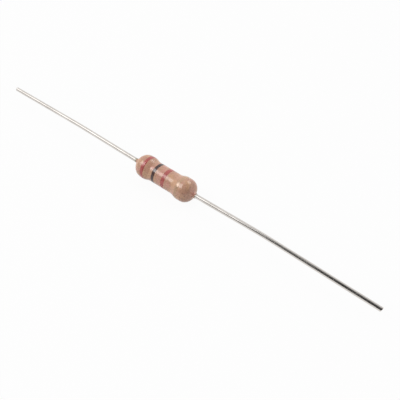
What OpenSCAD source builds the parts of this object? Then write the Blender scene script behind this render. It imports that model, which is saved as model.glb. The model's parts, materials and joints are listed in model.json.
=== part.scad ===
// Carbon film resistor with axial leads, half-watt size, with four colour bands.
// Everything is turned about the X axis, with the middle of the body at the origin.
// The first colour band is on the -X side. Lengths are in millimetres.

/* [Ceramic core] */
// Diameter of the ceramic rod
core_d = 2.3; // [1.6:0.05:3.5]
// Length of the ceramic rod
core_len = 8.2; // [7:0.1:12]
// Chamfer on the rod's two rims
core_chamfer = 0.15; // [0.05:0.01:0.2]

/* [Carbon film] */
// Thickness of the film on the rod
film_t = 0.05; // [0.03:0.005:0.1]
// Turns of the helical trimming cut
cut_turns = 6; // [3:1:9]
// Width of the trimming cut
cut_w = 0.2; // [0.1:0.01:0.3]
// Plain film left between the cut and each cap's mouth
cut_margin = 0.2; // [0.1:0.05:0.5]

/* [End caps] */
// Thickness of the pressed sheet
cap_wall = 0.2; // [0.12:0.01:0.3]
// Length of a cap, from its closed face to its mouth
cap_len = 1.6; // [1.3:0.05:2]
// Inside radius of the bend between face and skirt
cap_bend_r = 0.15; // [0.05:0.01:0.2]
// How far the mouth opens outwards, at the radius
cap_flare = 0.04; // [0.01:0.01:0.06]
// Length of the flared part of the skirt
cap_flare_len = 0.35; // [0.2:0.05:0.6]

/* [Leads] */
// Diameter of the tinned wire
wire_d = 0.6; // [0.45:0.01:0.8]
// Free length of each wire, from the body's end to the tip
lead_len = 27; // [20:0.1:38]
// Radius of the fillet between the wire and its upset head, which is welded to the cap
head_fillet = 0.12; // [0.05:0.01:0.2]
// Flat width of the head outside the fillet
head_lip = 0.05; // [0.03:0.01:0.12]
// Thickness of the head's rim
head_rim = 0.08; // [0.05:0.01:0.15]
// How much the wire swells next to its head, at the radius
swell = 0.02; // [0.01:0.005:0.04]
// Chamfer left by the shears at the tip
tip_chamfer = 0.06; // [0.02:0.01:0.1]

/* [Lacquer coat] */
// Thickness of the coat over the film, at the neck
coat_neck_t = 0.165; // [0.1:0.005:0.22]
// Thickness of the coat over the caps
coat_bulb_t = 0.175; // [0.12:0.005:0.3]
// Thickness of the coat on each cap's closed face
coat_end_t = 0.78; // [0.6:0.02:1]
// Length of the slope from the neck up to a cap's mouth
slope_before = 0.85; // [0.6:0.05:1.3]
// Length of the slope past the mouth, up to the full diameter
slope_after = 0.3; // [0.1:0.05:0.5]
// Length of the round shoulder at each end
shoulder_len = 1.5; // [1.1:0.05:1.7]
// Height above the wire at which the lacquer's collar leaves the shoulder
collar_rise = 0.26; // [0.15:0.01:0.4]
// How far the collar runs out along the wire
collar_len = 0.2; // [0.1:0.05:0.5]
// Thickness of the collar's rim on the wire
collar_rim = 0.05; // [0.04:0.01:0.08]

/* [Colour bands] */
// Thickness of the paint
band_t = 0.04; // [0.03:0.005:0.08]
// Width of the two digit bands
digit_w = 0.5; // [0.3:0.02:0.7]
// Width of the multiplier band
multiplier_w = 0.58; // [0.3:0.02:0.8]
// Width of the tolerance band
tolerance_w = 0.56; // [0.3:0.02:0.8]
// Distance from the body's end to the middle of the bands on the two bulbs
end_band_in = 2.05; // [1.8:0.05:2.3]
// Place of the second digit band, from the body's middle
second_x = -1.22; // [-1.6:0.02:-0.7]
// Place of the multiplier band, from the body's middle
multiplier_x = 0.52; // [0:0.02:1]

/* [Fits] */
// Radial play between a piece and the layer that lies around it
play = 0.02; // [0.015:0.005:0.03]

/* [Hidden] */
$fn = 96;
// Steps along a slope, along a shoulder, round a small bend and across a band
slope_steps = 14;
shoulder_steps = 16;
bend_steps = 8;
band_steps = 10;
// Facets of the film's ribbon in one turn
ribbon_steps = 48;
// How far the ribbon's faces lie inside the faces of its end rings
ribbon_inset = 0.008;
// Turn by which the ribbon's ends reach into the end rings, in degrees
ribbon_overlap = 15;
// How far past the collar the wire's swelling has run out
swell_past = 0.1;
// Share of the paint that is lost at a band's rims, and how suddenly it goes
rim_loss = 0.5;
rim_power = 6;

// Radii, from the core outwards
core_r = core_d / 2;
film_ri = core_r + play;
film_ro = film_ri + film_t;
cap_ri = film_ro + play;
cap_ro = cap_ri + cap_wall;
cap_bend_ro = cap_bend_r + cap_wall;
wire_r = wire_d / 2;
swell_r = wire_r + swell;
head_r = swell_r + head_fillet + head_lip;
neck_r = film_ro + play + coat_neck_t;
bulb_r = cap_ro + play + coat_bulb_t;
collar_r = wire_r + collar_rise;
collar_rim_r = swell_r + play + collar_rim;

// Places along X, from the middle outwards
core_end = core_len / 2;
cap_face = core_end + cap_wall;
cap_mouth = cap_face - cap_len;
skirt_end = cap_mouth + cap_flare_len;
cut_end = cap_mouth - cut_margin;
slope_start = cap_mouth - slope_before;
slope_end = cap_mouth + slope_after;
head_top = cap_face + head_rim + head_fillet;
body_end = cap_face + coat_end_t;
shoulder_start = body_end - shoulder_len;
collar_end = body_end + collar_len;
swell_end = collar_end + swell_past;
tip = body_end + lead_len;
end_band_x = body_end - end_band_in;
pitch = 2 * cut_end / cut_turns;

// Turns a profile about X. A profile's points are [radius, place along X].
module turn_about_x() {
    rotate([0, 90, 0]) rotate_extrude() children();
}

// Puts a piece that is drawn for the +X end on the end that side names, +1 or -1.
module at_end(side) {
    mirror([side < 0 ? 1 : 0, 0, 0]) children();
}

// Points on an arc about [r, x], from one angle to another, measured from the radius towards +X.
function arc(r, x, radius, from, to, steps) =
    [for (i = [0:steps]) let (a = from + (to - from) * i / steps) [r + radius * cos(a), x + radius * sin(a)]];

// An arc about the middle of the cap's bend, where 0 is the skirt's side and 90 the face's
function cap_bend(radius, from, to) =
    arc(cap_ri - cap_bend_r, core_end - cap_bend_r, radius, from, to, bend_steps);

// A list of points in the other order
function reversed(points) = [for (i = [len(points) - 1:-1:0]) points[i]];

// A line drawn from the middle to the +X end, carried on to the -X end by its mirror image
function both_ends(points) = concat([for (p = reversed(points)) [p[0], -p[1]]], points);

// An S-shaped rise from 0 to 1 with level ends
function rise(t) = t * t * (3 - 2 * t);

// Radius of the coat at a place along X: neck, slope, bulb and round shoulder
function coat_r(x) =
    let (ax = abs(x))
    ax < slope_start ? neck_r :
    ax < slope_end ? neck_r + (bulb_r - neck_r) * rise((ax - slope_start) / (slope_end - slope_start)) :
    ax < shoulder_start ? bulb_r :
    bulb_r * sqrt(1 - pow((ax - shoulder_start) / shoulder_len, 2));

// Outside of the coat from the neck to the +X end: the slope, the elliptic shoulder
// and the hollow collar that the lacquer draws up along the wire.
function coat_outside() =
    let (
        shoulder_turn = acos(collar_r / bulb_r),
        collar_start = shoulder_start + shoulder_len * sin(shoulder_turn)
    )
    concat(
        [for (i = [0:slope_steps])
            let (x = slope_start + (slope_end - slope_start) * i / slope_steps) [coat_r(x), x]],
        [for (i = [0:shoulder_steps])
            let (a = shoulder_turn * i / shoulder_steps)
            [bulb_r * cos(a), shoulder_start + shoulder_len * sin(a)]],
        [for (i = [1:bend_steps])
            let (a = 90 * i / bend_steps)
            [collar_r - (collar_r - collar_rim_r) * sin(a), collar_end - (collar_end - collar_start) * cos(a)]]
    );

// Hollow of the coat from the neck to the +X end: film, cap, welded head and wire, each with its play.
// The coat bears on the cap's closed face.
function coat_inside() =
    let (
        bend_turn = asin(cap_bend_ro / (cap_bend_ro + play)),
        flare_r = cap_ro + cap_flare + play
    )
    concat(
        [[film_ro + play, cap_mouth - play], [flare_r, cap_mouth - play], [flare_r, cap_mouth]],
        [[cap_ro + play, skirt_end]],
        cap_bend(cap_bend_ro + play, 0, bend_turn),
        [[head_r + play, cap_face], [head_r + play, cap_face + head_rim + play]],
        [[swell_r + play, head_top + play], [swell_r + play, collar_end]]
    );

// A straight ceramic rod with its rims chamfered
module ceramic_core() {
    color("ivory") turn_about_x()
        polygon([
            [0, -core_end], [core_r - core_chamfer, -core_end], [core_r, -core_end + core_chamfer],
            [core_r, core_end - core_chamfer], [core_r - core_chamfer, core_end], [0, core_end]
        ]);
}

// The film's ribbon between the turns of the trimming cut: a flat strip wound round the rod.
// Each ring of four points is one section of the strip.
module film_ribbon() {
    r_in = film_ri + ribbon_inset;
    r_out = film_ro - ribbon_inset;
    half_w = (pitch - cut_w) / 2;
    turn_from = -ribbon_overlap;
    turn_to = 360 * (cut_turns + 1) + ribbon_overlap;
    rings = ceil((turn_to - turn_from) * ribbon_steps / 360);
    points = [
        for (i = [0:rings])
            let (a = turn_from + (turn_to - turn_from) * i / rings, x = pitch * (a / 360 - 0.5) - cut_end)
            for (corner = [[r_in, -half_w], [r_out, -half_w], [r_out, half_w], [r_in, half_w]])
                [x + corner[1], corner[0] * cos(a), corner[0] * sin(a)]
    ];
    sides = [
        for (i = [0:rings - 1], k = [0:3])
            let (near = 4 * i + k, next = 4 * i + (k + 1) % 4)
            for (face = [[near, next, next + 4], [near, next + 4, near + 4]]) face
    ];
    first = [[0, 2, 1], [0, 3, 2]];
    last = [for (face = first) [for (k = reversed(face)) 4 * rings + k]];
    polyhedron(points, concat(first, sides, last));
}

// Carbon film on the rod. A helical cut turns it into a ribbon between two whole end rings,
// and the number of turns sets the resistance.
module carbon_film() {
    ring_from = cut_end + cut_w / 2;
    ring_to = core_end - max(core_chamfer, cap_bend_r);
    color("dimgray") {
        for (side = [-1, 1]) at_end(side)
            turn_about_x()
                translate([film_ri, ring_from]) square([film_ro - film_ri, ring_to - ring_from]);
        film_ribbon();
    }
}

// Pressed steel cap: a closed face, a bend and a skirt whose mouth is flared for pressing on
module end_cap(side) {
    color("silver") at_end(side) turn_about_x()
        polygon(concat(
            [[0, core_end]],
            cap_bend(cap_bend_r, 90, 0),
            [[cap_ri, skirt_end], [cap_ri + cap_flare, cap_mouth]],
            [[cap_ro + cap_flare, cap_mouth], [cap_ro, skirt_end]],
            cap_bend(cap_bend_ro, 0, 90),
            [[0, cap_face]]
        ));
}

// Tinned wire with the upset head that is butt-welded to the cap. The upsetting swells the wire
// next to the head, and the swelling runs out just past the collar.
module lead(side) {
    color("gainsboro") at_end(side) turn_about_x()
        polygon(concat(
            [[0, cap_face], [head_r, cap_face], [head_r, cap_face + head_rim]],
            arc(swell_r + head_fillet, head_top, head_fillet, -90, -180, bend_steps),
            [[wire_r, swell_end], [wire_r, tip - tip_chamfer], [wire_r - tip_chamfer, tip], [0, tip]]
        ));
}

// Lacquer over the whole assembly, with a waist between the caps
module lacquer_coat() {
    color("tan") turn_about_x()
        polygon(concat(both_ends(coat_outside()), reversed(both_ends(coat_inside()))));
}

// A ring of paint that follows the coat. Its rims are thinner than its middle.
module band(middle, width) {
    places = [for (i = [0:band_steps]) 2 * i / band_steps - 1];
    under = [for (p = places) let (x = middle + p * width / 2) [coat_r(x) + play, x]];
    over = [
        for (p = places)
            let (x = middle - p * width / 2, paint = band_t * (1 - rim_loss * pow(p, rim_power)))
            [coat_r(x) + play + paint, x]
    ];
    turn_about_x() polygon(concat(under, over));
}

module band_first_digit() {
    color("firebrick") band(-end_band_x, digit_w);
}

module band_second_digit() {
    color("black") band(second_x, digit_w);
}

module band_multiplier() {
    color("firebrick") band(multiplier_x, multiplier_w);
}

module band_tolerance() {
    color("darkgoldenrod") band(end_band_x, tolerance_w);
}

ceramic_core();
carbon_film();
end_cap(-1);  // end_cap_left
end_cap(1);  // end_cap_right
lead(-1);  // lead_left
lead(1);  // lead_right
lacquer_coat();
band_first_digit();
band_second_digit();
band_multiplier();
band_tolerance();
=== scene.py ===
import json
import math

import bmesh
import bpy
from mathutils import Matrix, Vector

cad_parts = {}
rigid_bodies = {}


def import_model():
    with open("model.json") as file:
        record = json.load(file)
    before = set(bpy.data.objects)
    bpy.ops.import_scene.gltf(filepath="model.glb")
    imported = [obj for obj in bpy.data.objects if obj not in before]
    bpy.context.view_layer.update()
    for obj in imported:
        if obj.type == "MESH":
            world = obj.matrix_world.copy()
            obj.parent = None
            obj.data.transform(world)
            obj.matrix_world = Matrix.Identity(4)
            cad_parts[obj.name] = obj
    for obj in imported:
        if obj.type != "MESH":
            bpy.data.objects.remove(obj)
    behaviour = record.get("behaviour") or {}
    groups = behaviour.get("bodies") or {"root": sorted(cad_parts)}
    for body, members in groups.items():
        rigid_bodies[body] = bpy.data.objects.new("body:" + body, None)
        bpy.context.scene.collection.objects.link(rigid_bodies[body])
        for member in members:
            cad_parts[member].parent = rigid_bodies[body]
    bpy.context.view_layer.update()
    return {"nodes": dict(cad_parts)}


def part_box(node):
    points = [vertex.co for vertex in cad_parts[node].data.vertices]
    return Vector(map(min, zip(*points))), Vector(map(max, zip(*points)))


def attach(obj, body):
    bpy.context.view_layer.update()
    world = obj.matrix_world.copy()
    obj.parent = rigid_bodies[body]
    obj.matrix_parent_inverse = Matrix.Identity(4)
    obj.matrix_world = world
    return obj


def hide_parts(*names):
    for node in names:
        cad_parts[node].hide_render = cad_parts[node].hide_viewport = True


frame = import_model()

scene = bpy.context.scene
mm = 0.001               # lengths below are given in millimetres and multiplied by this


camera = {
    "azimuth": 40.0,         # degrees round from the front, towards the tolerance band's end
    "elevation": 46.2,       # degrees above the table
    "distance": 75.3,        # from the lens to the plane of the body's middle
    "lens": 50.4,
    "sensor": 36,
    "clip": (0.002, 5),      # nearest and furthest that is seen, in metres
    "aside": 4.61,           # how far the body's middle lies left of the view's middle
    "above": 2.97,           # and above it
}


def addCamera():
    az, el = math.radians(camera["azimuth"]), math.radians(camera["elevation"])
    right = Vector((math.cos(az), math.sin(az), 0))
    back = Vector((math.sin(az) * math.cos(el), -math.cos(az) * math.cos(el), math.sin(el)))
    up = back.cross(right)
    place = (back * camera["distance"] + right * camera["aside"] - up * camera["above"]) * mm
    data = bpy.data.cameras.new("camera")
    data.lens = camera["lens"]
    data.sensor_width = camera["sensor"]
    data.clip_start, data.clip_end = camera["clip"]
    obj = bpy.data.objects.new("camera", data)
    scene.collection.objects.link(obj)
    obj.matrix_world = Matrix.Translation(place) @ Matrix((right, up, back)).transposed().to_4x4()
    scene.camera = obj


addCamera()
print("camera placed")


def addNode(tree, kind, inputs=None, **settings):
    node = tree.nodes.new(kind)
    for name, value in settings.items():
        setattr(node, name, value)
    for key, value in (inputs or {}).items():
        socket = node.inputs[key]
        if isinstance(value, bpy.types.NodeSocket):
            tree.links.new(value, socket)
        else:
            socket.default_value = value
    return node


def doMath(tree, operation, a, b=None, c=None):
    inputs = {k: v for k, v in enumerate((a, b, c)) if v is not None}
    return addNode(tree, "ShaderNodeMath", inputs, operation=operation).outputs[0]


def mixColour(tree, factor, a, b):
    node = addNode(tree, "ShaderNodeMix", data_type="RGBA")
    for key, value in ((0, factor), (6, a), (7, b)):
        if isinstance(value, bpy.types.NodeSocket):
            tree.links.new(value, node.inputs[key])
        else:
            node.inputs[key].default_value = value if key == 0 else (*value, 1)
    return node.outputs[2]


def remap(tree, value, fromLow, fromHigh, toLow, toHigh, smooth=False):
    node = addNode(tree, "ShaderNodeMapRange", {0: value, 1: fromLow, 2: fromHigh, 3: toLow, 4: toHigh})
    if smooth:
        node.interpolation_type = "SMOOTHSTEP"
    return node.outputs[0]


def startMaterial(name):
    mat = bpy.data.materials.new(name)
    mat.use_nodes = True
    tree = mat.node_tree
    shader = tree.nodes["Principled BSDF"]
    coords = addNode(tree, "ShaderNodeTexCoord").outputs["Object"]
    return mat, tree, shader, coords


def noise(tree, coords, size, detail=2.0, roughness=0.5, stretch=(1, 1, 1), shift=(0, 0, 0)):
    # size is the width of one blotch, in millimetres, and shift is in blotches
    mapping = addNode(tree, "ShaderNodeMapping", {"Vector": coords, "Location": shift})
    mapping.inputs["Scale"].default_value = [s / (size * mm) for s in stretch]
    return addNode(tree, "ShaderNodeTexNoise", {
        "Vector": mapping.outputs[0], "Scale": 1.0, "Detail": detail, "Roughness": roughness,
    }).outputs[0]


def bump(tree, shader, layers):
    # layers are (height socket, how high it stands in millimetres)
    normal = None
    for height, depth in layers:
        node = addNode(tree, "ShaderNodeBump", {"Height": height, "Distance": depth * mm, "Strength": 1.0})
        if normal is not None:
            tree.links.new(normal, node.inputs["Normal"])
        normal = node.outputs[0]
    tree.links.new(normal, shader.inputs["Normal"])


def linear(r, g, b):
    # colours are written as they look on a screen, 0 to 255
    return tuple((v / 255 / 12.92) if v <= 10 else ((v / 255 + 0.055) / 1.055) ** 2.4 for v in (r, g, b))


def reach(node):
    # lowest and highest place along X, and the largest radius, in millimetres
    low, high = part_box(node)
    return low.x / mm, high.x / mm, max(high.y, high.z) / mm


collarEnd, bulbR = reach("lacquer_coat")[1:]
capMouth, capFace, flareR = reach("end_cap_right")
filmR = reach("carbon_film")[2]
tipEnd, headR = reach("lead_right")[1:]
play = 0.02              # between the coat and what it holds


# a ramp is (noise from, noise to, value at the first, value at the second)
lacquerLook = {
    "light": linear(205, 160, 135),
    "dark": linear(188, 142, 119),
    "rosy": linear(208, 151, 135),
    "ochre": linear(208, 162, 128),
    "blotch": 1.3,           # size of the cloudy patches
    "blotchRamp": (0.3, 0.7, 0, 1),
    "blotchShift": (-5.5, -0.8, -3.3),     # which part of the pattern falls on the body
    "tint": 1.0,             # size of the rosy and ochre patches
    "tintShift": (-2.1, -3.6, 6.3),
    "rosyRamp": (0.53, 0.66, 0, 0.85),
    "ochreRamp": (0.47, 0.34, 0, 0.85),
    "grain": 0.09,           # size of the fine dark specks
    "grainRamp": (0.62, 0.75, 0, 0.25),
    "grainHeight": 0.0002,
    "peel": 0.7,             # size of the orange peel
    "peelHeight": 0.002,
    "roughRamp": (0.3, 0.7, 0.2, 0.15),
    "ior": 1.52,
}


def makeLacquer():
    look = lacquerLook
    mat, tree, shader, coords = startMaterial("tan_lacquer")
    clouds = noise(tree, coords, look["blotch"], detail=3.0, roughness=0.55, shift=look["blotchShift"])
    grain = noise(tree, coords, look["grain"], roughness=0.6)
    peel = noise(tree, coords, look["peel"], detail=1.5)
    tint = noise(tree, coords, look["tint"], detail=1.0, shift=look["tintShift"])
    colour = mixColour(tree, remap(tree, clouds, *look["blotchRamp"]), look["dark"], look["light"])
    colour = mixColour(tree, remap(tree, tint, *look["rosyRamp"]), colour, look["rosy"])
    colour = mixColour(tree, remap(tree, tint, *look["ochreRamp"]), colour, look["ochre"])
    colour = mixColour(tree, remap(tree, grain, *look["grainRamp"]), colour, look["dark"])
    tree.links.new(colour, shader.inputs["Base Color"])
    tree.links.new(remap(tree, clouds, *look["roughRamp"]), shader.inputs["Roughness"])
    shader.inputs["IOR"].default_value = look["ior"]
    bump(tree, shader, [(peel, look["peelHeight"]), (grain, look["grainHeight"])])
    return mat


paintLook = {
    "blotch": 0.7,           # size of the lighter and darker patches
    "blotchRamp": (0.3, 0.7, 0, 1),
    "peel": 0.16,            # size of the brush's fine waves
    "peelHeight": 0.0018,
    "red_paint": {
        "light": linear(192, 97, 95), "dark": linear(159, 77, 71),
        "roughRamp": (0.3, 0.7, 0.11, 0.22), "metallic": 0.0, "ior": 1.5,
    },
    "black_paint": {
        "light": linear(76, 43, 37), "dark": linear(54, 27, 23),
        "roughRamp": (0.3, 0.7, 0.11, 0.22), "metallic": 0.0, "ior": 1.64,
    },
    "gold_paint": {
        "light": linear(203, 164, 134), "dark": linear(185, 148, 120),
        "roughRamp": (0.3, 0.7, 0.14, 0.25), "metallic": 0.05, "ior": 1.58,
    },
}


def makePaint(name):
    paint = paintLook[name]
    mat, tree, shader, coords = startMaterial(name)
    clouds = noise(tree, coords, paintLook["blotch"], detail=3.0, roughness=0.6)
    peel = noise(tree, coords, paintLook["peel"])
    colour = mixColour(tree, remap(tree, clouds, *paintLook["blotchRamp"]), paint["dark"], paint["light"])
    tree.links.new(colour, shader.inputs["Base Color"])
    tree.links.new(remap(tree, peel, *paint["roughRamp"]), shader.inputs["Roughness"])
    shader.inputs["Metallic"].default_value = paint["metallic"]
    shader.inputs["IOR"].default_value = paint["ior"]
    bump(tree, shader, [(peel, paintLook["peelHeight"])])
    return mat


wireLook = {
    "tin": linear(216, 211, 206),
    "dull": linear(200, 194, 188),
    "copper": linear(196, 140, 100),
    "cut": 0.03,             # how far the bare copper shows back from the sheared tip
    # olive-grey that darkens each wire just past the collar, more on the left wire
    "rootTint": linear(142, 138, 112),
    "rootTintStart": 0.1,       # of the olive darkening on the wire, past the collar
    "rootTintEnd": 0.45,
    "rootTinted": {"left": 0.85, "right": 0.2},
    "line": 0.05,            # width of the drawing lines
    "lineStretch": (0.012, 1, 1),
    "lineHeight": 0.004,
    "blotch": 0.9,           # size of the dull patches
    "blotchStretch": (0.35, 1, 1),
    "dullRamp": (0.42, 0.72, 0, 0.7),
    "roughRamp": (0.35, 0.75, 0.16, 0.3),
    "pit": 0.07,             # size of the pits in the tin
    "pitHeight": 0.0006,
}


def makeTin(sideName):
    # one wire's finish, which changes with the distance along X from the body's middle
    look = wireLook
    mat, tree, shader, coords = startMaterial("tinned_wire_" + sideName)
    lines = noise(tree, coords, look["line"], stretch=look["lineStretch"])
    dull = noise(tree, coords, look["blotch"], detail=3.0, roughness=0.6, stretch=look["blotchStretch"])
    pits = noise(tree, coords, look["pit"])
    colour = mixColour(tree, remap(tree, dull, *look["dullRamp"]), look["tin"], look["dull"])
    along = addNode(tree, "ShaderNodeSeparateXYZ", {0: coords}).outputs[0]
    along = doMath(tree, "ABSOLUTE", along)
    # an olive darkening on each wire just past the collar, fading outwards, much stronger on the left wire
    rootTinted = remap(tree, along, (collarEnd + look["rootTintStart"]) * mm, (collarEnd + look["rootTintEnd"]) * mm,
                    look["rootTinted"][sideName], 0, smooth=True)
    colour = mixColour(tree, rootTinted, colour, look["rootTint"])
    bare = doMath(tree, "GREATER_THAN", along, tipEnd * mm - look["cut"] * mm)
    colour = mixColour(tree, bare, colour, look["copper"])
    tree.links.new(colour, shader.inputs["Base Color"])
    tree.links.new(remap(tree, dull, *look["roughRamp"]), shader.inputs["Roughness"])
    shader.inputs["Metallic"].default_value = 1.0
    bump(tree, shader, [(lines, look["lineHeight"]), (pits, look["pitHeight"])])
    return mat


capLook = {
    "bright": linear(214, 212, 206),
    "dull": linear(178, 174, 166),
    "line": 0.06,            # width of the drawing lines
    "lineStretch": (0.05, 1, 1),
    "lineHeight": 0.002,
    "blotch": 0.6,           # size of the dull patches
    "dullRamp": (0.35, 0.7, 0, 1),
    "roughRamp": (0.3, 0.7, 0.24, 0.4),
}


def makeCapSteel():
    look = capLook
    mat, tree, shader, coords = startMaterial("plated_steel")
    lines = noise(tree, coords, look["line"], stretch=look["lineStretch"])
    dull = noise(tree, coords, look["blotch"], detail=3.0, roughness=0.6)
    colour = mixColour(tree, remap(tree, dull, *look["dullRamp"]), look["bright"], look["dull"])
    tree.links.new(colour, shader.inputs["Base Color"])
    tree.links.new(remap(tree, dull, *look["roughRamp"]), shader.inputs["Roughness"])
    shader.inputs["Metallic"].default_value = 1.0
    bump(tree, shader, [(lines, look["lineHeight"])])
    return mat


ceramicLook = {
    "dark": linear(228, 224, 214),
    "light": linear(240, 238, 232),
    "speck": linear(176, 168, 150),
    "blotch": 0.9,
    "blotchRamp": (0.3, 0.7, 0, 1),
    "grain": 0.08,
    "grainHeight": 0.004,
    "speckRamp": (0.66, 0.72, 0, 0.5),
    "roughness": 0.75,
}


def makeCeramic():
    look = ceramicLook
    mat, tree, shader, coords = startMaterial("fired_ceramic")
    grain = noise(tree, coords, look["grain"], detail=3.0, roughness=0.6)
    clouds = noise(tree, coords, look["blotch"])
    colour = mixColour(tree, remap(tree, clouds, *look["blotchRamp"]), look["dark"], look["light"])
    colour = mixColour(tree, remap(tree, grain, *look["speckRamp"]), colour, look["speck"])
    tree.links.new(colour, shader.inputs["Base Color"])
    shader.inputs["Roughness"].default_value = look["roughness"]
    bump(tree, shader, [(grain, look["grainHeight"])])
    return mat


carbonLook = {
    "dark": linear(46, 45, 47),
    "light": linear(74, 72, 72),
    "blotch": 0.5,
    "blotchRamp": (0.3, 0.7, 0, 1),
    "blotchHeight": 0.001,
    "roughRamp": (0.3, 0.7, 0.38, 0.55),
    "metallic": 0.35,
}


def makeCarbon():
    look = carbonLook
    mat, tree, shader, coords = startMaterial("carbon_film")
    clouds = noise(tree, coords, look["blotch"], detail=3.0, roughness=0.6)
    colour = mixColour(tree, remap(tree, clouds, *look["blotchRamp"]), look["dark"], look["light"])
    tree.links.new(colour, shader.inputs["Base Color"])
    tree.links.new(remap(tree, clouds, *look["roughRamp"]), shader.inputs["Roughness"])
    shader.inputs["Metallic"].default_value = look["metallic"]
    bump(tree, shader, [(clouds, look["blotchHeight"])])
    return mat


print("materials ready")


wire = {
    "radius": 0.3,
    "swell": 0.02,           # thicker next to the head
    "swellEnd": 5.38,        # where the wire has come down to its own radius
    "rim": 0.08,             # thickness of the head's rim
    "fillet": 0.12,          # between head and wire
    "chamfer": 0.05,         # at the tip
    "chamferRound": (0.015, 0.02),   # a point that rounds it, back from the tip and inwards
    "tipLength": 0.35,       # the last stretch, with its own rings
    "rings": {"fillet": 8, "free": 70, "tip": 5},
    "segments": 40,
    "sharp": 40,             # edges that turn by more than this stay sharp, in degrees
    "lumpHeight": 0.003,
    "lumpSize": 0.8,
    "lumpSeed": 2.0,         # one less on the left, one more on the right
    "crest": {"left": 0.45, "right": 0.4},    # share of the free length up to the bow's crest
    "bowRise": {"left": 0.133, "right": 0.216},     # how far the bow leans out
    "tipDrop": {"left": 0.118, "right": 0.12},      # how far the tip ends on the other side
    "softness": 0.4,         # how softly the bow turns at its crest
    "lean": (0.5, 0.87),     # the bow's direction, back and up
    "slant": {"left": 0.22, "right": 0.3},    # how steeply the shears left the tip's face
}


turning = {
    "weld": 2e-7,            # vertices closer than this are joined, in metres
    "shortest": 1e-8,        # and shorter edges are dropped, in metres
}


def addInputs(tree, kind, defaults):
    for name, value in defaults.items():
        socket = tree.interface.new_socket(name, in_out="INPUT", socket_type="NodeSocket" + kind)
        if value is not None:
            socket.default_value = value


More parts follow.
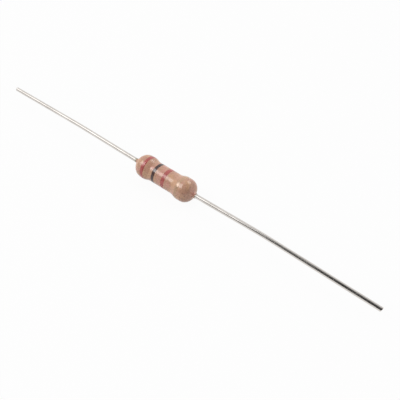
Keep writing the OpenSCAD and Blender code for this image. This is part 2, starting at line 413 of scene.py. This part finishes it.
def makeTurningTree():
    # Turns a profile about X. The profile's vertices are (place along X, radius, share of unevenness).
    tree = bpy.data.node_groups.new("turnAboutX", "GeometryNodeTree")
    addInputs(tree, "Geometry", {"Profile": None})
    addInputs(tree, "Int", {"Segments": 96})
    addInputs(tree, "Float", {
        "Lump Height": 0.0, "Lump Size": 0.001, "Lump Seed": 0.0,
        "Edge Wander": 0.0, "Wander Size": 0.001, "Wander Seed": 0.0,
        "Bow Start": 0.0, "Bow Length": 1.0, "Bow Crest": 0.5, "Bow Rise": 0.0,
        "Tip Drop": 0.0, "Tip Slant": 0.0, "Tip Place": 1.0,
    })
    addInputs(tree, "Material", {"Material": None})
    tree.interface.new_socket("Geometry", in_out="OUTPUT", socket_type="NodeSocketGeometry")
    given = addNode(tree, "NodeGroupInput").outputs

    # a grid of rings by spokes, each vertex put on its ring's radius
    rings = addNode(tree, "GeometryNodeAttributeDomainSize", {0: given["Profile"]}).outputs[0]
    spokes = doMath(tree, "ADD", given["Segments"], 1.0)
    grid = addNode(tree, "GeometryNodeMeshGrid", {"Vertices X": rings, "Vertices Y": spokes}).outputs[0]
    index = addNode(tree, "GeometryNodeInputIndex").outputs[0]
    ring = doMath(tree, "FLOOR", doMath(tree, "DIVIDE", doMath(tree, "ADD", index, 0.5), spokes))
    spoke = doMath(tree, "SUBTRACT", index, doMath(tree, "MULTIPLY", ring, spokes))
    sample = addNode(tree, "GeometryNodeSampleIndex", data_type="FLOAT_VECTOR", domain="POINT")
    tree.links.new(given["Profile"], sample.inputs["Geometry"])
    position = addNode(tree, "GeometryNodeInputPosition").outputs[0]
    tree.links.new(position, sample.inputs["Value"])
    tree.links.new(ring, sample.inputs["Index"])
    profile = addNode(tree, "ShaderNodeSeparateXYZ", {0: sample.outputs["Value"]}).outputs
    turn = doMath(tree, "MULTIPLY", doMath(tree, "DIVIDE", spoke, given["Segments"]), math.tau)
    cosine, sine = doMath(tree, "COSINE", turn), doMath(tree, "SINE", turn)
    outward = addNode(tree, "ShaderNodeCombineXYZ", {1: cosine, 2: sine}).outputs[0]
    around = addNode(tree, "ShaderNodeCombineXYZ", {
        0: profile[0],
        1: doMath(tree, "MULTIPLY", profile[1], cosine),
        2: doMath(tree, "MULTIPLY", profile[1], sine),
    }).outputs[0]

    # slow lumps along the radius and a wandering edge along X, both scaled by the profile's share
    def unevenness(size, height, seed):
        scaled = addNode(tree, "ShaderNodeVectorMath", {0: around, 3: doMath(tree, "DIVIDE", 1.0, size)},
                         operation="SCALE").outputs[0]
        field = addNode(tree, "ShaderNodeTexNoise", {
            "Vector": scaled, "W": seed, "Scale": 1.0, "Detail": 1.0,
        }, noise_dimensions="4D").outputs[0]
        centred = doMath(tree, "MULTIPLY", doMath(tree, "SUBTRACT", field, 0.5), 2.0)
        return doMath(tree, "MULTIPLY", doMath(tree, "MULTIPLY", centred, height), profile[2])

    lump = unevenness(given["Lump Size"], given["Lump Height"], given["Lump Seed"])
    wander = unevenness(given["Wander Size"], given["Edge Wander"], given["Wander Seed"])

    # the wire's bow: it leans away up to a crest and comes back past the axis at the tip
    side = doMath(tree, "SIGN", profile[0])
    run = doMath(tree, "ABSOLUTE", profile[0])
    along = doMath(tree, "DIVIDE", doMath(tree, "SUBTRACT", run, given["Bow Start"]), given["Bow Length"])
    along = doMath(tree, "MINIMUM", doMath(tree, "MAXIMUM", along, 0.0), 1.0)
    leaving = doMath(tree, "DIVIDE", along, given["Bow Crest"])
    coming = doMath(tree, "DIVIDE", doMath(tree, "SUBTRACT", 1.0, along),
                    doMath(tree, "SUBTRACT", 1.0, given["Bow Crest"]))
    arch = doMath(tree, "SMOOTH_MIN", leaving, coming, wire["softness"])
    bow = doMath(tree, "SUBTRACT", doMath(tree, "MULTIPLY", arch, given["Bow Rise"]),
                 doMath(tree, "MULTIPLY", along, given["Tip Drop"]))

    # the shears leave the tip's face aslant
    wireR = wire["radius"] * mm
    tipStart = doMath(tree, "SUBTRACT", given["Tip Place"], wireR)
    nearTip = remap(tree, run, tipStart, given["Tip Place"], 0, 1)
    height = doMath(tree, "MULTIPLY", profile[1], sine)
    slant = doMath(tree, "MULTIPLY", doMath(tree, "SUBTRACT", height, wireR), given["Tip Slant"])
    slant = doMath(tree, "MULTIPLY", doMath(tree, "MULTIPLY", slant, nearTip), side)

    offset = addNode(tree, "ShaderNodeVectorMath", {0: outward, 3: lump}, operation="SCALE").outputs[0]
    shift = addNode(tree, "ShaderNodeCombineXYZ", {
        0: doMath(tree, "ADD", wander, slant),
        1: doMath(tree, "MULTIPLY", bow, wire["lean"][0]),
        2: doMath(tree, "MULTIPLY", bow, wire["lean"][1]),
    }).outputs[0]
    total = addNode(tree, "ShaderNodeVectorMath", {0: offset, 1: shift}, operation="ADD").outputs[0]
    placed = addNode(tree, "GeometryNodeSetPosition",
                     {"Geometry": grid, "Position": around, "Offset": total}).outputs[0]
    closed = addNode(tree, "GeometryNodeMergeByDistance",
                     {"Geometry": placed, "Distance": turning["weld"]}).outputs[0]
    smooth = addNode(tree, "GeometryNodeSetShadeSmooth", {"Geometry": closed}).outputs[0]
    real = addNode(tree, "GeometryNodeRealizeInstances", {"Geometry": smooth}).outputs[0]
    dressed = addNode(tree, "GeometryNodeSetMaterial",
                      {"Geometry": real, "Material": given["Material"]}).outputs[0]
    addNode(tree, "NodeGroupOutput", {"Geometry": dressed})
    return tree


turningTree = makeTurningTree()


def turnPiece(name, profile, material, sharpAngle, inputs):
    # profile is a list of (x, radius, share of unevenness), with x and radius in millimetres
    line = bpy.data.meshes.new(name + "_profile")
    line.from_pydata([(x * mm, r * mm, share) for x, r, share in profile], [], [])
    source = bpy.data.objects.new(name + "_source", line)
    scene.collection.objects.link(source)
    modifier = source.modifiers.new("turn", "NODES")
    modifier.node_group = turningTree
    values = {**inputs, "Material": material}
    for item in turningTree.interface.items_tree:
        if item.item_type == "SOCKET" and item.in_out == "INPUT" and item.name in values:
            modifier[item.identifier] = values[item.name]
    evaluated = source.evaluated_get(bpy.context.evaluated_depsgraph_get())
    mesh = bpy.data.meshes.new_from_object(evaluated)
    mesh.name = name
    bpy.data.objects.remove(source)
    tidy = bmesh.new()
    tidy.from_mesh(mesh)
    bmesh.ops.dissolve_degenerate(tidy, dist=turning["shortest"], edges=tidy.edges)
    bmesh.ops.recalc_face_normals(tidy, faces=tidy.faces)
    for edge in tidy.edges:
        edge.smooth = edge.calc_face_angle(0) < math.radians(sharpAngle)
    tidy.to_mesh(mesh)
    tidy.free()
    mesh.update()
    piece = bpy.data.objects.new(name, mesh)
    scene.collection.objects.link(piece)
    return piece


def finishPiece(piece, nodes):
    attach(piece, "root")
    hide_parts(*nodes)
    print(piece.name, "made with", len(piece.data.polygons), "faces")


def stepped(low, high, count):
    return [low + (high - low) * i / count for i in range(count + 1)]


coat = {
    "neckR": 1.42,
    "slopeBefore": 0.85,     # slope from the neck to a cap's mouth
    "slopeAfter": 0.3,       # and past it
    "bulge": {"left": 0.02, "right": 0.027},     # how far each bulb stands past the CAD one
    "bodyEnd": {"left": 4.93, "right": 4.97},
    "shoulder": 1.5,         # length of the round shoulder
    "fullness": {"left": 2.22, "right": 2.38},   # how squarely each shoulder turns
    "collarR": 0.56,         # radius where the collar leaves the shoulder
    "rimR": 0.36,
    "hollow": 0.325,         # radius of the hollow round the wire's thick root
    "hollowStart": 0.3,      # past the cap's face
    "mouth": 0.303,          # and where it closes on the wire
    "mouthLength": 0.1,
    "headDepth": 0.1,        # length of the room for the wire's head
    "capFlare": 0.04,        # how much wider a cap's mouth is
    "flareLength": 0.35,
    "capBend": 0.35,         # radius of the cap's far corner
    "lumpHeight": 0.012,
    "lumpSize": 1.9,
    "lumpSeed": 1.0,
    "collarLumps": 0.3,      # share of the lumps on the collar
    "mouthLumps": 0.1,       # and at its mouth
    "rings": {"neck": 8, "slope": 18, "bulb": 6, "shoulder": 40, "collar": 12, "bend": 6},
    "segments": 128,
    "sharp": 50,
}
coat["slopeStart"] = capMouth - coat["slopeBefore"]
coat["slopeEnd"] = capMouth + coat["slopeAfter"]


def atSide(name, x):
    return coat[name]["left" if x < 0 else "right"]


def coatRadius(x):
    shoulderStart = atSide("bodyEnd", x) - coat["shoulder"]
    fullness = atSide("fullness", x)
    fullR = bulbR + atSide("bulge", x)
    x = abs(x)
    if x < coat["slopeStart"]:
        return coat["neckR"]
    if x < coat["slopeEnd"]:
        t = (x - coat["slopeStart"]) / (coat["slopeEnd"] - coat["slopeStart"])
        return coat["neckR"] + (fullR - coat["neckR"]) * t * t * (3 - 2 * t)
    if x < shoulderStart:
        return fullR
    return fullR * math.sqrt(max(0, 1 - ((x - shoulderStart) / coat["shoulder"]) ** fullness))


def coatOutside(side):
    # from the middle to the collar's rim
    rings = coat["rings"]
    shoulderStart = atSide("bodyEnd", side) - coat["shoulder"]
    places = stepped(0, coat["slopeStart"], rings["neck"])
    places += stepped(coat["slopeStart"], coat["slopeEnd"], rings["slope"])[1:]
    places += stepped(coat["slopeEnd"], shoulderStart, rings["bulb"])[1:]
    points = [(x, coatRadius(side * x), 1) for x in places]
    calm, collarR = coat["collarLumps"], coat["collarR"]
    for a in stepped(0, math.pi / 2, rings["shoulder"])[1:]:
        x = shoulderStart + coat["shoulder"] * math.sin(a)
        r = coatRadius(side * x)
        if r > collarR:
            points.append((x, r, min(1, calm + (1 - calm) * (r - collarR) / (bulbR - collarR))))
    start, startR = points[-1][:2]
    for a in stepped(0, math.pi / 2, rings["collar"])[1:]:
        x = collarEnd - (collarEnd - start) * math.cos(a)
        points.append((x, startR - (startR - coat["rimR"]) * math.sin(a), calm))
    return points


def coatInside():
    # from the middle to the wire's hole
    bend = coat["capBend"]
    filmRoom, flareRoom, headRoom = filmR + play, flareR + play, headR + play
    capR = flareR - coat["capFlare"]
    points = [
        (capMouth - play, filmRoom, 0), (capMouth - play, flareRoom, 0), (capMouth, flareRoom, 0),
        (capMouth + coat["flareLength"], capR + play, 0),
    ]
    for a in stepped(0, math.asin(bend / (bend + play)), coat["rings"]["bend"]):
        x = capFace - bend + (bend + play) * math.sin(a)
        points.append((x, capR - bend + (bend + play) * math.cos(a), 0))
    points += [
        (capFace, headRoom, 0), (capFace + coat["headDepth"], headRoom, 0),
        (capFace + coat["hollowStart"], coat["hollow"], 0),
        (collarEnd - coat["mouthLength"], coat["hollow"], 0),
        (collarEnd, coat["mouth"], coat["mouthLumps"]),
    ]
    return points


def coatLumps():
    return {
        "Lump Height": coat["lumpHeight"] * mm,
        "Lump Size": coat["lumpSize"] * mm,
        "Lump Seed": coat["lumpSeed"],
    }


def makeCoat():
    inside = coatInside()
    loop = [(-x, r, s) for x, r, s in reversed(coatOutside(-1)[1:])] + coatOutside(1)
    loop += list(reversed(inside)) + [(-x, r, s) for x, r, s in inside]
    loop.append(loop[0])
    piece = turnPiece("lacquerCoat", loop, makeLacquer(), coat["sharp"],
                      {"Segments": coat["segments"], **coatLumps()})
    finishPiece(piece, ["lacquer_coat"])


makeCoat()


band = {
    "sink": 0.012,           # how far the paint's foot lies under the lacquer's face
    "paint": 0.009,          # how far it stands above
    "edge": 0.16,            # width of the thin edge
    "wander": 0.05,          # how far the edges stray
    "wanderSize": 0.7,
    "rings": {"over": 20, "under": 8},
    "segments": 160,
    "sharp": 60,
    # each CAD node's piece, its paint and the seed of its edges
    "pieces": {
        "band_first_digit": ("firstBand", "red_paint", 2.1),
        "band_second_digit": ("secondBand", "black_paint", 3.7),
        "band_multiplier": ("multiplierBand", "red_paint", 5.2),
        "band_tolerance": ("toleranceBand", "gold_paint", 8.4),
    },
}


def bandProfile(low, high):
    over = []
    for x in stepped(low, high, band["rings"]["over"]):
        inwards = min(1, (x - low) / band["edge"], (high - x) / band["edge"])
        over.append((x, coatRadius(x) + band["paint"] * inwards * (2 - inwards), 1))
    under = [(x, coatRadius(x) - band["sink"], 1) for x in stepped(high, low, band["rings"]["under"])]
    return [*over, *under, over[0]]


def makeBands():
    paints = {name: makePaint(name) for name in ("red_paint", "black_paint", "gold_paint")}
    for node, (name, slot, seed) in band["pieces"].items():
        low, high = reach(node)[:2]
        piece = turnPiece(name, bandProfile(low, high), paints[slot], band["sharp"], {
            "Segments": band["segments"], **coatLumps(),
            "Edge Wander": band["wander"] * mm, "Wander Size": band["wanderSize"] * mm, "Wander Seed": seed,
        })
        finishPiece(piece, [node])


makeBands()


def makeWire(sideName, side, node):
    r, rings = wire["radius"], wire["rings"]
    swollen = r + wire["swell"]
    points = [(capFace, 0, 0), (capFace, headR, 0), (capFace + wire["rim"], headR, 0)]
    middle = capFace + wire["rim"] + wire["fillet"]
    for a in stepped(math.radians(90), math.radians(180), rings["fillet"]):
        x = middle - wire["fillet"] * math.sin(a)
        points.append((x, swollen + wire["fillet"] * (1 + math.cos(a)), 0))
    points.append((wire["swellEnd"], r, 0.5))
    tipStart, chamferStart = tipEnd - wire["tipLength"], tipEnd - wire["chamfer"]
    points += [(x, r, 1) for x in stepped(wire["swellEnd"], tipStart, rings["free"])[1:]]
    points += [(x, r, 1) for x in stepped(tipStart, chamferStart, rings["tip"])[1:]]
    back, inwards = wire["chamferRound"]
    points += [(tipEnd - back, r - inwards, 0.5), (tipEnd, r - wire["chamfer"], 0), (tipEnd, 0, 0)]
    bowStart = coat["bodyEnd"][sideName]
    profile = [(side * x, radius, share) for x, radius, share in points]
    piece = turnPiece(sideName + "Wire", profile, makeTin(sideName), wire["sharp"], {
        "Segments": wire["segments"],
        "Lump Height": wire["lumpHeight"] * mm,
        "Lump Size": wire["lumpSize"] * mm,
        "Lump Seed": wire["lumpSeed"] + side,
        "Bow Start": bowStart * mm,
        "Bow Length": (tipEnd - bowStart) * mm,
        "Bow Crest": wire["crest"][sideName],
        "Bow Rise": wire["bowRise"][sideName] * mm,
        "Tip Drop": wire["tipDrop"][sideName] * mm,
        "Tip Slant": wire["slant"][sideName],
        "Tip Place": tipEnd * mm,
    })
    finishPiece(piece, [node])


makeWire("left", -1, "lead_left")
makeWire("right", 1, "lead_right")


def dress(node, material):
    data = frame["nodes"][node].data
    data.materials.clear()
    data.materials.append(material)


capSteel = makeCapSteel()
dress("end_cap_left", capSteel)
dress("end_cap_right", capSteel)
dress("ceramic_core", makeCeramic())
dress("carbon_film", makeCarbon())
print("inner pieces dressed")


studio = {
    "floor": -1.68,          # the table's height under the wires' axis
    "floorReach": 1500.0,    # from the middle to each edge
    "floorColour": 0.75,
    "floorRoughness": 0.9,
    "floorWhite": 0.95,      # share of plain white that the lens sees on the table
    "ambient": 1.15,
    "dimLevel": 0.15,        # the room's dim side, as it lights plain surfaces
    "dimDirection": (0.25, -0.66, 0.71),
    "dimFrom": 48.0,         # degrees from that direction
    "dimTo": 64.0,
    "gloss": 0.95,           # the room as gloss shows it
    "darkLevel": 0.055,      # and its dark end
    "darkDirection": (0.985, -0.135, 0.105),
    "darkFrom": 97.5,
    "darkTo": 109.5,
    "darkTurn": (78.0, 150.0),       # where it gives way to the pale back, from the front up
    "front": 0.6,            # the room below the softbox, as gloss shows it
    "frontTurn": (5.0, 34.0),        # from the front up, in degrees
    "frontSoft": 0.08,       # half the width of its edges, in radians
    "shine": 2.2,            # the softbox's face, as metal shows it
    "shineAlong": (-0.78, -0.38),    # its reach along X
    "shineTurn": (43.0, 80.0),       # and from the front up to overhead, in degrees
    "shineSoft": (0.03, 0.05),       # half the width of its edges, along X and in radians
    "key": 4.2,              # the softbox as it lights plain surfaces
    "keyDirection": (-0.52, -0.52, 0.68),
    "keyWide": 0.28,
    "keyDeep": 0.31,
    "lampDistance": 0.5,     # in metres, as the lamps' sizes are
    "sheen": ((-0.49, -0.37, 0.79), 0.24, 0.23, 3.1),      # direction, width, depth, brightness
    "spot": ((-0.37, -0.57, 0.735), 0.15, 0.16, 2.8),
    "window": ((0.07, 0.69, 0.71), 0.28, 0.19, 3.8),
}


def makeFloor():
    mesh = bpy.data.meshes.new("table")
    far, z = studio["floorReach"] * mm, studio["floor"] * mm
    mesh.from_pydata([(-far, -far, z), (far, -far, z), (far, far, z), (-far, far, z)], [], [(0, 1, 2, 3)])
    obj = bpy.data.objects.new("table", mesh)
    scene.collection.objects.link(obj)
    mat = bpy.data.materials.new("table_white")
    mat.use_nodes = True
    tree = mat.node_tree
    shader = tree.nodes["Principled BSDF"]
    shader.inputs["Base Color"].default_value = (*(studio["floorColour"],) * 3, 1)
    shader.inputs["Roughness"].default_value = studio["floorRoughness"]
    shader.inputs["Specular IOR Level"].default_value = 0.0
    white = addNode(tree, "ShaderNodeEmission", {"Color": (1, 1, 1, 1), "Strength": 1.0}).outputs[0]
    rays = addNode(tree, "ShaderNodeLightPath").outputs
    seen = doMath(tree, "MAXIMUM", rays["Is Camera Ray"],
                  doMath(tree, "MAXIMUM", rays["Is Glossy Ray"], rays["Is Transmission Ray"]))
    share = doMath(tree, "MULTIPLY", seen, studio["floorWhite"])
    mixed = addNode(tree, "ShaderNodeMixShader", {0: share, 1: shader.outputs[0], 2: white}).outputs[0]
    tree.links.new(mixed, tree.nodes["Material Output"].inputs["Surface"])
    mesh.materials.append(mat)


def makeWorld():
    world = bpy.data.worlds.new("studio")
    scene.world = world
    world.use_nodes = True
    tree = world.node_tree
    rays = addNode(tree, "ShaderNodeLightPath").outputs
    sight = addNode(tree, "ShaderNodeTexCoord").outputs["Generated"]
    along, across, up = addNode(tree, "ShaderNodeSeparateXYZ", {0: sight}).outputs

    def towards(name):
        # 1 near the named direction, 0 away from it
        axis = Vector(studio[name + "Direction"]).normalized()
        facing = addNode(tree, "ShaderNodeVectorMath", {0: sight, 1: axis},
                         operation="DOT_PRODUCT").outputs["Value"]
        near, far = (math.cos(math.radians(studio[name + end])) for end in ("From", "To"))
        return remap(tree, facing, far, near, 0, 1, True)

    def between(value, low, high, soft):
        return doMath(tree, "MULTIPLY", remap(tree, value, low - soft, low + soft, 0, 1, True),
                      remap(tree, value, high - soft, high + soft, 1, 0, True))

    def blend(share, a, b):
        return doMath(tree, "MULTIPLY_ADD", share, doMath(tree, "SUBTRACT", b, a), a)

    plain = blend(towards("dim"), studio["ambient"], studio["dimLevel"])
    turn = doMath(tree, "ARCTAN2", up, doMath(tree, "MULTIPLY", across, -1.0))
    ahead = remap(tree, turn, *(math.radians(a) for a in studio["darkTurn"]), 1, 0, True)
    gloss = blend(doMath(tree, "MULTIPLY", towards("dark"), ahead), studio["gloss"], studio["darkLevel"])
    front = between(turn, *(math.radians(a) for a in studio["frontTurn"]), studio["frontSoft"])
    gloss = doMath(tree, "MULTIPLY", gloss, blend(front, 1.0, studio["front"]))
    softAlong, softTurn = studio["shineSoft"]
    box = doMath(tree, "MULTIPLY", between(along, *studio["shineAlong"], softAlong),
                 between(turn, *(math.radians(a) for a in studio["shineTurn"]), softTurn))
    gloss = blend(box, gloss, studio["shine"])
    level = blend(rays["Is Glossy Ray"], plain, gloss)
    level = blend(rays["Is Camera Ray"], level, 1.0)
    tree.links.new(level, tree.nodes["Background"].inputs["Strength"])
    tree.nodes["Background"].inputs["Color"].default_value = (1, 1, 1, 1)


def addLamp(name, direction, wide, deep, brightness):
    # an area lamp that faces the part, with its width along X
    data = bpy.data.lights.new(name, "AREA")
    data.shape = "RECTANGLE"
    data.size, data.size_y = wide, deep
    data.energy = brightness * math.pi * wide * deep
    obj = bpy.data.objects.new(name, data)
    scene.collection.objects.link(obj)
    back = Vector(direction).normalized()
    across = (Vector((1, 0, 0)) - back * back.x).normalized()
    obj.matrix_world = Matrix.Translation(back * studio["lampDistance"]) @ Matrix(
        (across, back.cross(across), back)).transposed().to_4x4()
    return obj


def addLamps():
    key = addLamp("softbox", studio["keyDirection"], studio["keyWide"], studio["keyDeep"], studio["key"])
    key.visible_glossy = False
    # lamps that only the lacquer and the paint mirror
    glossy = bpy.data.collections.new("glossyPieces")
    for piece in bpy.data.objects:
        if piece.name in ("lacquerCoat", *(name for name, slot, seed in band["pieces"].values())):
            glossy.objects.link(piece)
    for name in ("sheen", "spot", "window"):
        lamp = addLamp(name, *studio[name])
        lamp.visible_diffuse = False
        lamp.light_linking.receiver_collection = glossy


makeFloor()
makeWorld()
addLamps()
scene.view_settings.view_transform = "Standard"
print("studio ready")
